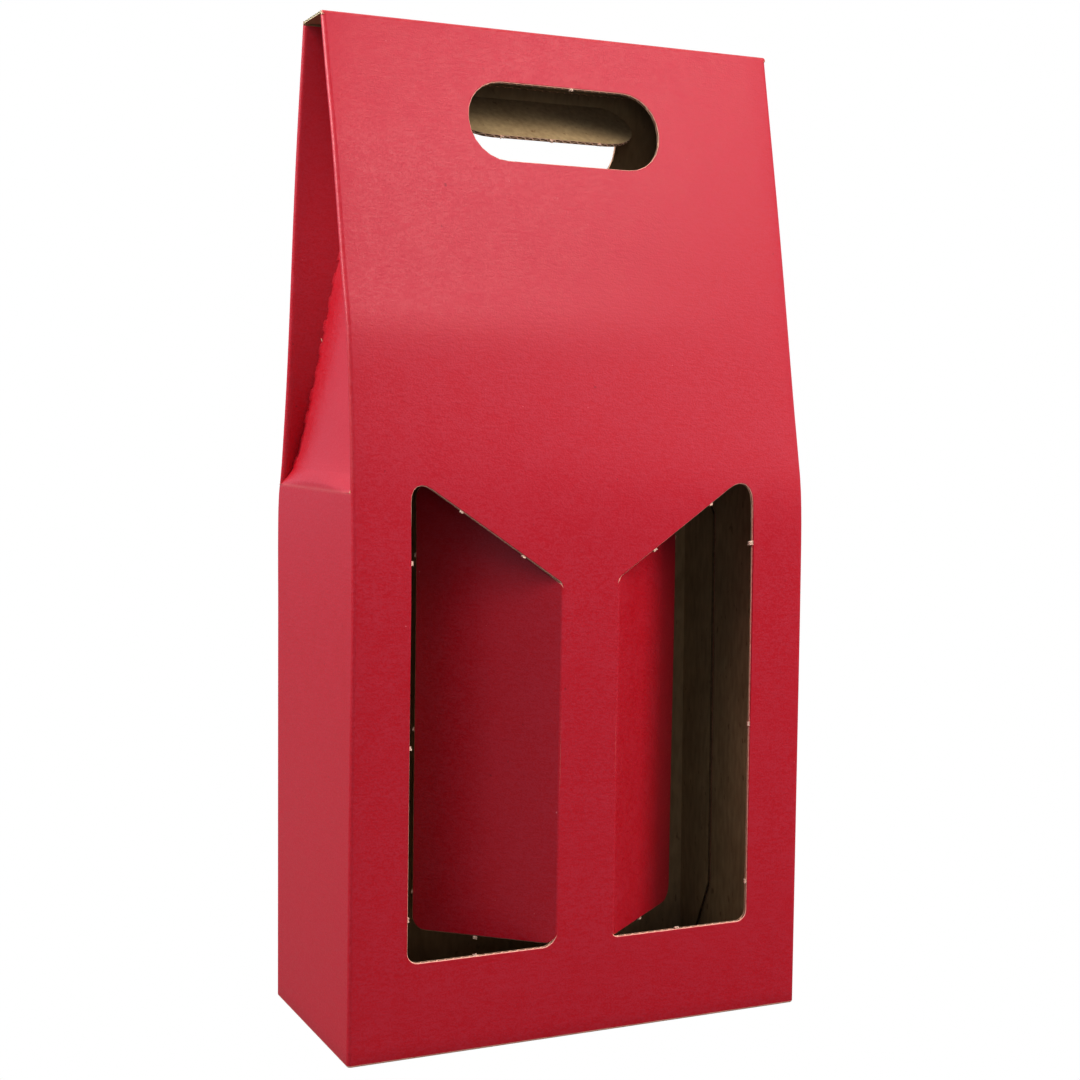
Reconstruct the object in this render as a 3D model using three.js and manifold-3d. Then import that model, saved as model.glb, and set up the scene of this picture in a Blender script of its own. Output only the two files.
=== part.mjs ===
// A folding carton that carries two bottles: a body with two windows under a gabled roof with a handle slot.
// Millimetres, +Z up. The front faces -Y, and the origin is the middle of the base.
import * as THREE from 'three';
import { mergeVertices } from 'three/addons/utils/BufferGeometryUtils.js';
import Module from 'manifold-3d';

const wasm = await Module();
wasm.setup();

// Driving sizes of the carton
const WIDTH = 180;
const DEPTH = 90;
const HEIGHT = 368;
const SHOULDER_HEIGHT = 200;
const RIDGE_DEPTH = 24;
const BOARD = 1.5;
const BACK_BEND_RADIUS = 5;
const FOLD_ROUNDING = 0.5;
const WING_TIP_RISE = 8;

// The front of the roof has no crease, so it bends softly and later on the left than on the right.
// Each row gives its share of the rise, and the share of the inset at the left and the right edge
const ROOF_ROWS = [
  [0.1, 0, 0.08],
  [0.24, 0.015, 0.225],
  [0.345, 0.085, 0.325],
  [0.45, 0.23, 0.425],
  [0.725, 0.575, 0.695],
];

// Windows in the front and the flaps that were pushed in from them
const WINDOW_MARGIN = 22;
const POST_WIDTH = 22;
const WINDOW_BOTTOM = 34.5;
const WINDOW_TIP_RISE = 5.5;
const WINDOW_SLANT_DROP = 39.5;
const WINDOW_TIP_RADIUS = 4.5;
const WINDOW_CORNER_RADIUS = 4;
const WINDOW_HINGE_RADIUS = 2.5;
const WINDOW_FLAP_ANGLE = THREE.MathUtils.degToRad(41);

// Handle slots in the roof and the flap behind them
const SLOT_LENGTH = 77;
const SLOT_HEIGHT = 30;
const SLOT_DROP = 19.5;
const HANDLE_FLAP_ANGLE = THREE.MathUtils.degToRad(60);

// Ridge strip and the flap that tucks in behind the back wall
const TUCK_WIDTH = 88;
const TUCK_LENGTH = 16;
const TUCK_CORNER_RADIUS = 5;
const TUCK_LEAN = THREE.MathUtils.degToRad(6);

// Seam flap glued inside the right wall
const SEAM_WIDTH = 24;
const SEAM_END_WIDTH = 10;
const SEAM_LOWER_TAPER = 28;
const SEAM_UPPER_TAPER = 12;

// Automatic base: two wide flaps that lock in the middle, and two side flaps with glued corners
const LOCK_OVERREACH = 12;
const LOCK_SLANT = 20;
const SIDE_FLAP_REACH = 42;
const SIDE_FLAP_TAPER = 6;

// Clearances
const CREASE_GAP = 0.3;
const KERF = 0.4;
const TUCK_GAP = 0.4;

// Fineness of the facets
const BEND_STEPS = 4;
const ARC_STEPS = 4;
const WELD_DISTANCE = 1e-4;
const SLOT_END_ROUNDNESS = 0.998;

// Sizes that follow from the ones above
const halfWidth = WIDTH / 2;
const halfDepth = DEPTH / 2;
const halfRidge = RIDGE_DEPTH / 2;
const roofRise = HEIGHT - SHOULDER_HEIGHT;
const roofInset = halfDepth - halfRidge;
const lean = Math.atan2(roofInset, roofRise);
const ridgeHalfAngle = (Math.PI / 2 + lean) / 2;
const bendSag = BACK_BEND_RADIUS * (1 / Math.cos(lean / 2) - 1);
const wallGap = CREASE_GAP + bendSag;
const sideSpan = DEPTH - 2 * BOARD - 2 * wallGap;
const roofInnerAtShoulder = halfDepth - BOARD / Math.cos(lean);
const windowTip = SHOULDER_HEIGHT + WINDOW_TIP_RISE;
const through = 4 * BOARD;
const baseStack = 3 * BOARD;
const stripDepth = RIDGE_DEPTH - BOARD / Math.cos(lean) - TUCK_GAP;

// The gusset is the rigid fold of a rectangle creased from its lower corners to the middle of its top edge
const roofSlope = Math.hypot(roofRise, roofInset);
const apexRise = (roofSlope * roofSlope - DEPTH * roofInset / 2) / roofRise;
const apexInset = Math.sqrt(roofSlope * roofSlope - apexRise * apexRise);
const gussetTop = HEIGHT - BOARD - CREASE_GAP;

const PRINT = { color: 0xb4303b, roughness: 0.7, metalness: 0 };
const KRAFT = { color: 0xa88a5c, roughness: 0.85, metalness: 0 };

function toSolid(geometry) {
  const bare = geometry.clone();
  bare.deleteAttribute('normal');
  bare.deleteAttribute('uv');
  const welded = mergeVertices(bare, WELD_DISTANCE);
  return new wasm.Manifold(new wasm.Mesh({
    numProp: 3,
    vertProperties: new Float32Array(welded.attributes.position.array),
    triVerts: new Uint32Array(welded.index.array),
  }));
}

function toGeometry(solid) {
  const mesh = solid.getMesh();
  const geometry = new THREE.BufferGeometry();
  geometry.setAttribute('position', new THREE.BufferAttribute(new Float32Array(mesh.vertProperties), 3));
  geometry.setIndex(new THREE.BufferAttribute(new Uint32Array(mesh.triVerts), 1));
  const faceted = geometry.toNonIndexed();
  faceted.computeVertexNormals();
  return faceted;
}

function piece(name, geometry, finish) {
  const mesh = new THREE.Mesh(geometry, new THREE.MeshStandardMaterial(finish));
  mesh.name = name;
  return mesh;
}

// The outline whose edges lie inside those of a polygon, each by its own distance
function insetOutline(corners, insets) {
  const lines = corners.map((corner, i) => {
    const along = corners[(i + 1) % corners.length].clone().sub(corner).normalize();
    const inward = new THREE.Vector2(-along.y, along.x);
    return { start: corner.clone().addScaledVector(inward, insets[i]), along };
  });
  return lines.map((line, i) => {
    const before = lines[(i + lines.length - 1) % lines.length];
    const step = line.start.clone().sub(before.start).cross(line.along) / before.along.cross(line.along);
    return before.start.clone().addScaledVector(before.along, step);
  });
}

// A closed counter-clockwise shape with an arc at each corner
function roundedShape(corners, radii) {
  const shape = new THREE.Shape();
  corners.forEach((corner, i) => {
    const back = corners[(i + corners.length - 1) % corners.length].clone().sub(corner).normalize();
    const ahead = corners[(i + 1) % corners.length].clone().sub(corner).normalize();
    const halfAngle = Math.acos(back.dot(ahead)) / 2;
    const middle = back.clone().add(ahead).normalize();
    const centre = corner.clone().addScaledVector(middle, radii[i] / Math.sin(halfAngle));
    const reach = radii[i] / Math.tan(halfAngle);
    const first = corner.clone().addScaledVector(back, reach).sub(centre);
    const last = corner.clone().addScaledVector(ahead, reach).sub(centre);
    shape.absarc(centre.x, centre.y, radii[i], first.angle(), last.angle(), false);
  });
  shape.closePath();
  return shape;
}

function outlineShape(points) {
  return new THREE.Shape(points.map(([x, y]) => new THREE.Vector2(x, y)));
}

function extrude(shape, depth, rounding = 0) {
  return new THREE.ExtrudeGeometry(shape, {
    depth: depth - 2 * rounding,
    curveSegments: ARC_STEPS,
    bevelEnabled: rounding > 0,
    bevelThickness: rounding,
    bevelSize: rounding,
    bevelOffset: -rounding,
    bevelSegments: 2,
  }).translate(0, 0, rounding);
}

// A board drawn as seen from the front: x stays, y becomes height, and it grows backwards from y = 0
function frontalBoard(shape, thickness) {
  return extrude(shape, thickness).rotateX(Math.PI / 2).translate(0, thickness, 0);
}

// A board drawn in section, y against z, and run across the width
function acrossBoard(shape, width, rounding = 0) {
  const toAcross = new THREE.Matrix4().makeBasis(
    new THREE.Vector3(0, 1, 0),
    new THREE.Vector3(0, 0, 1),
    new THREE.Vector3(1, 0, 0),
  );
  return extrude(shape, width, rounding).applyMatrix4(toAcross).translate(-width / 2, 0, 0);
}

// The back wall in section: upright to the shoulder, a bend, then leaning in to the ridge
function backSection() {
  const straight = SHOULDER_HEIGHT - BACK_BEND_RADIUS * Math.tan(lean / 2);
  const centre = halfDepth - BACK_BEND_RADIUS;
  const bend = (radius, turn) => [centre + radius * Math.cos(turn), straight + radius * Math.sin(turn)];
  const turns = Array.from({ length: BEND_STEPS + 1 }, (_, i) => (i * lean) / BEND_STEPS);
  return outlineShape([
    [halfDepth, 0],
    ...turns.map((turn) => bend(BACK_BEND_RADIUS, turn)),
    [halfRidge, HEIGHT],
    [halfRidge - BOARD / Math.cos(lean), HEIGHT],
    ...turns.toReversed().map((turn) => bend(BACK_BEND_RADIUS - BOARD, turn)),
    [halfDepth - BOARD, 0],
  ]);
}

// A board between two grids of points, its print face and its kraft face.
// Seen from the print side, the rows go upwards and the points of a row go to the right
function boardBetween(print, kraft) {
  const rows = print.length;
  const columns = print[0].length;
  const onPrint = (row, column) => row * columns + column;
  const onKraft = (row, column) => (rows + row) * columns + column;
  const index = [];
  const addQuad = (a, b, c, d) => index.push(a, b, c, a, c, d);
  for (let row = 1; row < rows; row += 1) {
    for (let column = 1; column < columns; column += 1) {
      const cell = [[row - 1, column - 1], [row - 1, column], [row, column], [row, column - 1]];
      const [a, b, c, d] = cell.map((place) => onKraft(...place));
      addQuad(...cell.map((place) => onPrint(...place)));
      addQuad(a, d, c, b);
    }
    addQuad(onPrint(row - 1, 0), onPrint(row, 0), onKraft(row, 0), onKraft(row - 1, 0));
    const last = columns - 1;
    addQuad(onKraft(row - 1, last), onKraft(row, last), onPrint(row, last), onPrint(row - 1, last));
  }
  for (let column = 1; column < columns; column += 1) {
    addQuad(onKraft(0, column - 1), onKraft(0, column), onPrint(0, column), onPrint(0, column - 1));
    const top = rows - 1;
    addQuad(onPrint(top, column - 1), onPrint(top, column), onKraft(top, column), onKraft(top, column - 1));
  }
  const geometry = new THREE.BufferGeometry().setFromPoints([...print.flat(), ...kraft.flat()]);
  geometry.setIndex(index);
  return toGeometry(toSolid(geometry));
}

// Heights of the front wall's left or right edge from the base to the ridge, each with its inset
function frontEdge(side) {
  const rows = ROOF_ROWS.map(([rise, left, right]) => [
    SHOULDER_HEIGHT + rise * roofRise,
    (side < 0 ? left : right) * roofInset,
  ]);
  return [[0, 0], [SHOULDER_HEIGHT, 0], ...rows, [HEIGHT, roofInset]];
}

function frontInset(side, height) {
  const edge = frontEdge(side);
  const above = edge.findIndex(([level]) => level >= height);
  const [[low, lowInset], [high, highInset]] = [edge[above - 1], edge[above]];
  return THREE.MathUtils.mapLinear(height, low, high, lowInset, highInset);
}

// A point of the front wall in one of its rows, at a place across the width and a depth in the board
function frontPoint(row, x, depth) {
  const [left, right] = [frontEdge(-1), frontEdge(1)];
  const [below, above] = [Math.max(row - 1, 0), Math.min(row + 1, left.length - 1)];
  const across = (x + halfWidth) / WIDTH;
  const inset = (level) => THREE.MathUtils.lerp(left[level][1], right[level][1], across);
  const turn = Math.atan2(inset(above) - inset(below), left[above][0] - left[below][0]);
  const y = -halfDepth + inset(row) + depth * Math.cos(turn);
  return new THREE.Vector3(x, y, left[row][0] - depth * Math.sin(turn));
}

function windowCorners(side) {
  const hinge = POST_WIDTH / 2;
  const outer = halfWidth - WINDOW_MARGIN;
  const corners = [
    new THREE.Vector2(hinge, WINDOW_BOTTOM),
    new THREE.Vector2(outer, WINDOW_BOTTOM),
    new THREE.Vector2(outer, windowTip),
    new THREE.Vector2(hinge, windowTip - WINDOW_SLANT_DROP),
  ];
  if (side > 0) {
    return corners;
  }
  const mirrored = corners.map((corner) => new THREE.Vector2(-corner.x, corner.y));
  return [mirrored[1], mirrored[0], mirrored[3], mirrored[2]];
}

function windowRadii(side) {
  const [hinge, corner, tip] = [WINDOW_HINGE_RADIUS, WINDOW_CORNER_RADIUS, WINDOW_TIP_RADIUS];
  return side > 0 ? [hinge, corner, tip, hinge] : [corner, hinge, hinge, tip];
}

function slotShape(inset, topInset) {
  const end = SLOT_LENGTH / 2;
  const corners = insetOutline([
    new THREE.Vector2(-end, -SLOT_DROP - SLOT_HEIGHT),
    new THREE.Vector2(end, -SLOT_DROP - SLOT_HEIGHT),
    new THREE.Vector2(end, -SLOT_DROP),
    new THREE.Vector2(-end, -SLOT_DROP),
  ], [inset, inset, topInset, inset]);
  const radius = SLOT_END_ROUNDNESS * (SLOT_HEIGHT - inset - topInset) / 2;
  return roundedShape(corners, [radius, radius, radius, radius]);
}

function slotCutter(facing) {
  return frontalBoard(slotShape(0, 0), 2 * through)
    .translate(0, -through, 0)
    .rotateX(facing * lean)
    .translate(0, facing * halfRidge, HEIGHT);
}

function frontPanel() {
  const flat = halfWidth - FOLD_ROUNDING;
  const columns = [-halfWidth, -flat, flat, halfWidth];
  const rounding = (x) => (Math.abs(x) > flat ? FOLD_ROUNDING : 0);
  const rows = frontEdge(1).map((_, row) => row);
  const print = rows.map((row) => columns.map((x) => frontPoint(row, x, rounding(x))));
  const kraft = rows.map((row) => columns.map((x) => frontPoint(row, x, BOARD)));
  const ridge = planeAt(
    new THREE.Vector3(0, -halfRidge, HEIGHT),
    new THREE.Vector3(0, -Math.sin(lean) - 1, -Math.cos(lean)),
  );
  const windowDepth = roofInset + through;
  const cutters = [-1, 1].map((side) => {
    const shape = roundedShape(windowCorners(side), windowRadii(side));
    return frontalBoard(shape, windowDepth).translate(0, -halfDepth - BOARD, 0);
  });
  cutters.push(slotCutter(-1));
  return trimmed(cutAway(boardBetween(print, kraft), cutters), [shifted(ridge, CREASE_GAP / 2)]);
}

function backPanel() {
  return cutAway(acrossBoard(backSection(), WIDTH, FOLD_ROUNDING), [slotCutter(1)]);
}

function cutAway(geometry, cutters) {
  const solid = cutters.reduce((rest, cutter) => rest.subtract(toSolid(cutter)), toSolid(geometry));
  return toGeometry(solid);
}

function sidePanel(side) {
  const height = SHOULDER_HEIGHT - CREASE_GAP / 2;
  return new THREE.BoxGeometry(BOARD, sideSpan, height)
    .translate(side * (halfWidth - BOARD / 2), 0, height / 2);
}

function windowFlap(side) {
  const cornersAtPost = insetOutline(
    windowCorners(side),
    side > 0 ? [KERF, KERF, KERF, CREASE_GAP] : [KERF, CREASE_GAP, KERF, KERF],
  );
  const shape = roundedShape(cornersAtPost, windowRadii(side));
  return frontalBoard(shape, BOARD).translate(-side * POST_WIDTH / 2, -BOARD, 0);
}

function handleFlap() {
  return frontalBoard(slotShape(KERF, CREASE_GAP), BOARD).translate(0, 0, SLOT_DROP);
}

function ridgeStrip() {
  const outerStart = CREASE_GAP / 2 / Math.sin(ridgeHalfAngle);
  const innerStart = outerStart + BOARD / Math.tan(ridgeHalfAngle);
  return acrossBoard(outlineShape([
    [outerStart, 0],
    [innerStart, -BOARD],
    [stripDepth, -BOARD],
    [stripDepth, 0],
  ]), WIDTH);
}

function tuckFlap() {
  const end = TUCK_WIDTH / 2;
  const corners = [
    new THREE.Vector2(-end, -TUCK_LENGTH),
    new THREE.Vector2(end, -TUCK_LENGTH),
    new THREE.Vector2(end, -CREASE_GAP),
    new THREE.Vector2(-end, -CREASE_GAP),
  ];
  const radii = [TUCK_CORNER_RADIUS, TUCK_CORNER_RADIUS, CREASE_GAP, CREASE_GAP];
  return frontalBoard(roundedShape(corners, radii), BOARD);
}

// The plane through a point, facing a normal
function planeAt(point, normal) {
  return new THREE.Plane().setFromNormalAndCoplanarPoint(normal.clone().normalize(), point);
}

function shifted(plane, distance) {
  return new THREE.Plane(plane.normal.clone(), plane.constant - distance);
}

// What is left of a board in front of every plane
function trimmed(geometry, planes) {
  const solid = planes.reduce(
    (rest, plane) => rest.trimByPlane(plane.normal.toArray(), -plane.constant),
    toSolid(geometry),
  );
  return toGeometry(solid);
}

function platePieces(planes) {
  const block = new THREE.BoxGeometry(WIDTH, DEPTH, HEIGHT).translate(0, 0, HEIGHT / 2);
  return trimmed(block, planes);
}

function centrePrintPlane(side) {
  const foot = new THREE.Vector3(side * halfWidth, 0, SHOULDER_HEIGHT);
  return planeAt(foot, new THREE.Vector3(side * apexRise, 0, apexInset));
}

// A gusset is a triangle that leans in from the side, with two wings folded back against the walls.
// The kraft face of a wing turns about the inner corner between its side and its wall
function wingCorner(side, facing) {
  return new THREE.Vector3(side * (halfWidth - BOARD), facing * roofInnerAtShoulder, SHOULDER_HEIGHT);
}

function wingPrintPlane(side, facing) {
  const upWall = new THREE.Vector3(0, -facing * roofInset, roofRise);
  const acrossTop = new THREE.Vector3(-side * apexInset, -facing * halfRidge, apexRise - roofRise);
  const towardsPocket = upWall.cross(acrossTop).multiplyScalar(side * facing);
  return shifted(planeAt(wingCorner(side, facing), towardsPocket), BOARD);
}

// Between the print faces of two boards that meet in a valley; faces the first board
function mitrePlane(own, other) {
  const normal = other.normal.clone().sub(own.normal);
  const size = normal.length();
  const constant = (other.constant - own.constant) / size;
  return new THREE.Plane(normal.divideScalar(size), constant - CREASE_GAP / 2);
}

function slab(printPlane) {
  return [printPlane.clone().negate(), shifted(printPlane, -BOARD)];
}

function gussetLimits() {
  const up = new THREE.Vector3(0, 0, 1);
  return [
    new THREE.Plane(up, -SHOULDER_HEIGHT - CREASE_GAP / 2),
    new THREE.Plane(up.clone().negate(), gussetTop),
  ];
}

function gussetCentre(side) {
  const print = centrePrintPlane(side);
  const creases = [-1, 1].map((facing) => mitrePlane(print, wingPrintPlane(side, facing)));
  return platePieces([...slab(print), ...creases, ...gussetLimits()]);
}

function gussetBackWing(side) {
  const print = wingPrintPlane(side, 1);
  const wall = planeAt(wingCorner(side, 1), new THREE.Vector3(0, -roofRise, -roofInset));
  const middle = new THREE.Plane(new THREE.Vector3(0, 1, 0), -CREASE_GAP / 2);
  return platePieces([
    ...slab(print),
    mitrePlane(print, centrePrintPlane(side)),
    shifted(wall, wallGap),
    middle,
    ...gussetLimits(),
  ]);
}

// Where the print face of a front wing reaches the crease of its gusset at a height
function frontCreasePoint(side, height) {
  const print = wingPrintPlane(side, -1);
  const crease = mitrePlane(print, centrePrintPlane(side));
  const reach = (plane) => -plane.constant - plane.normal.z * height;
  const size = print.normal.x * crease.normal.y - print.normal.y * crease.normal.x;
  const x = (reach(print) * crease.normal.y - reach(crease) * print.normal.y) / size;
  const y = (print.normal.x * reach(crease) - crease.normal.x * reach(print)) / size;
  return new THREE.Vector3(x, Math.min(y, -CREASE_GAP / 2), height);
}

// A front wing runs from the crease of its gusset to the bent front wall
function gussetFrontWing(side) {
  const rises = [WING_TIP_RISE, ...ROOF_ROWS.map(([rise]) => rise * roofRise)];
  const heights = [...rises.map((rise) => SHOULDER_HEIGHT + rise), gussetTop];
  const wallDepth = BOARD / Math.cos(lean) + wallGap;
  const pocket = wingPrintPlane(side, -1).normal.clone().setZ(0).setLength(BOARD);
  const rows = heights.map((height) => {
    const wall = -halfDepth + frontInset(side, height) + wallDepth;
    const fold = new THREE.Vector3(side * (halfWidth - BOARD), wall, height);
    const crease = frontCreasePoint(side, height);
    const print = [crease, fold.clone().add(pocket)];
    const kraft = [crease.clone().sub(pocket), fold];
    return side < 0 ? [print, kraft] : [print.toReversed(), kraft.toReversed()];
  });
  return boardBetween(rows.map(([print]) => print), rows.map(([, kraft]) => kraft));
}

function seamFlap() {
  const corner = sideSpan / 2;
  const edge = corner - SEAM_WIDTH;
  const narrow = corner - SEAM_END_WIDTH;
  const bottom = baseStack + CREASE_GAP;
  const top = SHOULDER_HEIGHT - CREASE_GAP / 2;
  return acrossBoard(outlineShape([
    [corner, bottom],
    [corner, top],
    [narrow, top],
    [edge, top - SEAM_UPPER_TAPER],
    [edge, bottom + SEAM_LOWER_TAPER],
    [narrow, bottom],
  ]), BOARD).translate(halfWidth - 1.5 * BOARD, 0, 0);
}

// Wide base flap: reaches past the middle on one half and stays short of it on the other
function wideBaseFlap(facing) {
  const end = halfWidth - BOARD - CREASE_GAP;
  const wall = sideSpan / 2;
  const far = LOCK_OVERREACH - KERF / 2;
  const near = -LOCK_OVERREACH - KERF / 2;
  const slant = LOCK_SLANT / 2;
  const shape = outlineShape([
    [-end, -wall],
    [end, -wall],
    [end, far],
    [slant, far],
    [-slant, near],
    [-end, near],
  ]);
  return extrude(shape, BOARD).rotateZ(facing > 0 ? Math.PI : 0);
}

// Narrow base flap from a side wall, cut off along the crease of its glued corner
function sideBaseFlap(side) {
  const wall = halfWidth - BOARD - CREASE_GAP;
  const corner = sideSpan / 2;
  const shape = outlineShape([
    [wall, -corner],
    [wall, corner],
    [wall - SIDE_FLAP_REACH, corner - SIDE_FLAP_TAPER],
    [wall - SIDE_FLAP_REACH, SIDE_FLAP_REACH - corner],
  ]);
  return extrude(shape, BOARD).rotateZ(side < 0 ? Math.PI : 0).translate(0, 0, baseStack - BOARD);
}

// The corner of a narrow flap, folded under it and glued to the wide flap below
function gluedCorner(side) {
  const wall = halfWidth - BOARD - CREASE_GAP;
  const corner = sideSpan / 2;
  const shape = outlineShape([
    [wall, -corner],
    [wall, SIDE_FLAP_REACH - corner],
    [wall - SIDE_FLAP_REACH, SIDE_FLAP_REACH - corner],
  ]);
  return extrude(shape, BOARD).rotateZ(side < 0 ? Math.PI : 0).translate(0, 0, BOARD);
}

function lid() {
  const group = new THREE.Group();
  group.position.set(0, -halfRidge, HEIGHT);
  group.add(piece('ridge_strip', ridgeStrip(), PRINT));
  const tuck = piece('tuck_flap', tuckFlap(), PRINT);
  tuck.position.set(0, stripDepth - BOARD, -BOARD);
  tuck.rotation.x = -TUCK_LEAN;
  group.add(tuck);
  return group;
}

function carton() {
  const group = new THREE.Group();
  group.add(piece('front_panel', frontPanel(), PRINT));
  group.add(piece('back_panel', backPanel(), PRINT));
  group.add(piece('seam_flap', seamFlap(), KRAFT));
  for (const [side, sideName] of [[-1, 'left'], [1, 'right']]) {
    group.add(piece(`${sideName}_side_panel`, sidePanel(side), PRINT));
    group.add(piece(`${sideName}_gusset_centre`, gussetCentre(side), PRINT));
    group.add(piece(`${sideName}_gusset_front_wing`, gussetFrontWing(side), PRINT));
    group.add(piece(`${sideName}_gusset_back_wing`, gussetBackWing(side), PRINT));
    group.add(piece(`${sideName}_base_flap`, sideBaseFlap(side), PRINT));
    group.add(piece(`${sideName}_glued_corner`, gluedCorner(side), PRINT));
    const flap = piece(`${sideName}_window_flap`, windowFlap(side), PRINT);
    flap.position.set(side * POST_WIDTH / 2, -halfDepth + BOARD, 0);
    flap.rotation.z = side * WINDOW_FLAP_ANGLE;
    group.add(flap);
  }
  group.add(piece('front_base_flap', wideBaseFlap(-1), PRINT));
  group.add(piece('back_base_flap', wideBaseFlap(1), PRINT));
  const handle = piece('handle_flap', handleFlap(), PRINT);
  handle.position.set(
    0,
    halfRidge + SLOT_DROP * Math.sin(lean) - BOARD * Math.cos(lean),
    HEIGHT - SLOT_DROP * Math.cos(lean) - BOARD * Math.sin(lean),
  );
  handle.rotation.x = lean - HANDLE_FLAP_ANGLE;
  group.add(handle);
  group.add(lid());
  return group;
}

export default carton();
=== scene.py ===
"""A carton that carries two bottles: its boards as printed, cut and folded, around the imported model.
Metres, +Z up. The front faces -Y, and the origin is the middle of the base."""
import math

import bpy
from mathutils import Matrix, Quaternion, Vector
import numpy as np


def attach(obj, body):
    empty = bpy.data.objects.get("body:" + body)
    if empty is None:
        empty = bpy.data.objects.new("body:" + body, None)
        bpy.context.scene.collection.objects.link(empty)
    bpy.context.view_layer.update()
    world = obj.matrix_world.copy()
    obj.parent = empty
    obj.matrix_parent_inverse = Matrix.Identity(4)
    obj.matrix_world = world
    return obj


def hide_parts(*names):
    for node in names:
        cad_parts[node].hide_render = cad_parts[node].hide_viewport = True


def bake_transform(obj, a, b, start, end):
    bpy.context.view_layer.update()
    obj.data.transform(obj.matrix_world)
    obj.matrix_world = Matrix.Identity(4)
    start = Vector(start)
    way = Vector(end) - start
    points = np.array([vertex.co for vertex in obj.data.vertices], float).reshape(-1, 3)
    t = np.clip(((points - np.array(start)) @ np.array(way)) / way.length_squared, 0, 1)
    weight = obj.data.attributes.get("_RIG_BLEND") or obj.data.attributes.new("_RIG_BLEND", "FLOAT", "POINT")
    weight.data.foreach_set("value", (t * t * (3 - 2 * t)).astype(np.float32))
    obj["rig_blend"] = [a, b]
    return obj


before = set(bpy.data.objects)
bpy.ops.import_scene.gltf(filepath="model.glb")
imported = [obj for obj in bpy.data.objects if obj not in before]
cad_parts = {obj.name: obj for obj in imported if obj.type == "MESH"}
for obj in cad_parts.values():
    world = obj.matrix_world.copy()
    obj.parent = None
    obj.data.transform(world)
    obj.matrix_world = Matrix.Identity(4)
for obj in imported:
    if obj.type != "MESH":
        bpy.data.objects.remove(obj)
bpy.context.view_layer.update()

# Carton
HALF_WIDTH = 0.0903
HALF_DEPTH = 0.045
HEIGHT = 0.368
RIDGE = 0.3693
SHOULDER = 0.200
HALF_RIDGE = 0.012
BOARD = 0.0015
FOLD = 0.0016
LIP = 0.00035
KERF = 0.0004
LEAN = math.atan2(HALF_DEPTH - HALF_RIDGE, HEIGHT - SHOULDER)
FLAT_HALF = HALF_WIDTH - FOLD
BLANK_HALF = FLAT_HALF + FOLD * math.pi / 2
RIDGE_START = RIDGE - FOLD * (1 - math.sin(LEAN))

# How far the edges of the walls stand in from upright: pairs of height and inset
FRONT_LEFT_LINE = (
    (0, 0), (0.090, -0.0019), (0.164, -0.0041), (0.205, -0.0028), (0.232, -0.0006),
    (0.258, 0.0026), (0.276, 0.0076), (0.322, 0.0190), (0.345, 0.0260), (RIDGE, 0.0330),
)
FRONT_RIGHT_LINE = (
    (0, 0), (0.100, -0.0008), (0.180, -0.0012), (0.200, -0.0003),
    (0.215, 0.0024), (0.232, 0.0058), (0.300, 0.0186), (RIDGE, 0.0330),
)
BACK_LEFT_LINE = (
    (0, 0), (0.150, 0), (0.193, 0.0004), (0.207, 0.0046), (0.243, 0.0121), (0.317, 0.0229), (RIDGE, 0.0330),
)
BACK_RIGHT_LINE = (
    (0, 0), (0.150, 0), (0.196, 0.0002), (0.204, 0.0010), (0.243, 0.0084), (0.317, 0.0229), (RIDGE, 0.0330),
)
FRONT = -1
BACK = 1
WALL_LINES = {FRONT: (FRONT_LEFT_LINE, FRONT_RIGHT_LINE), BACK: (BACK_LEFT_LINE, BACK_RIGHT_LINE)}

# Windows and their flaps
POST_HALF = 0.011
LEFT = -1
RIGHT = 1
WINDOW_OUTER = {LEFT: 0.0687, RIGHT: 0.0680}
WINDOW_BOTTOM = {LEFT: 0.0343, RIGHT: 0.0350}
WINDOW_TIP = {LEFT: 0.2062, RIGHT: 0.2074}
WINDOW_INNER_TOP = {LEFT: 0.1668, RIGHT: 0.1679}
LOW_HINGE_ROUNDING = {LEFT: 0.0055, RIGHT: 0.0020}
HIGH_HINGE_ROUNDING = 0.0028
CORNER_ROUNDING = 0.004
TIP_ROUNDING = {LEFT: 0.0048, RIGHT: 0.0062}
FLAP_CORNER_ROUNDING = {LEFT: 0.0052, RIGHT: 0.0068}
FLAP_END_GAP = {LEFT: 0.0010, RIGHT: 0.0004}
FLAP_CORNER_RISE = {LEFT: 0.0012, RIGHT: 0.0006}
WINDOW_FLAP_TURN = math.radians(41)
OUTER_NICKS = {LEFT: (0.1757, 0.111, 0.050), RIGHT: (0.111, 0.050)}
LARGE_NICK_HEIGHT = 0.180
LARGE_NICK_SIZE = (1.7, 1.3, 1.3, 1)
SLANT_NICKS = (0.0500, 0.0263)
BOTTOM_NICK = {LEFT: 0.0430, RIGHT: 0.0385}

# Handle slots
SLOT_MIDDLE = 0.0006
SLOT_HALF = 0.0387
SLOT_HEIGHT = 0.030
SLOT_DROP = 0.0195
SLOT_ROUNDNESS = 0.98
SLOT_TOP = HEIGHT - SLOT_DROP * math.cos(LEAN)
HANDLE_FLAP_TURN = math.radians(63)
HANDLE_NICKS = (-0.020, 0, 0.020)
SLOT_NICK = 0.0043

# Ridge strip and tuck flap
TUCK_HALF = 0.044
TUCK_LENGTH = 0.016
TUCK_ROUNDING = 0.005
TUCK_TURN = math.radians(96)
TUCK_CREASE = 0.0085713
STRIP_END = 0.0100713
STRIP_SHARE = 0.68
LINER = BOARD / 3

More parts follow.
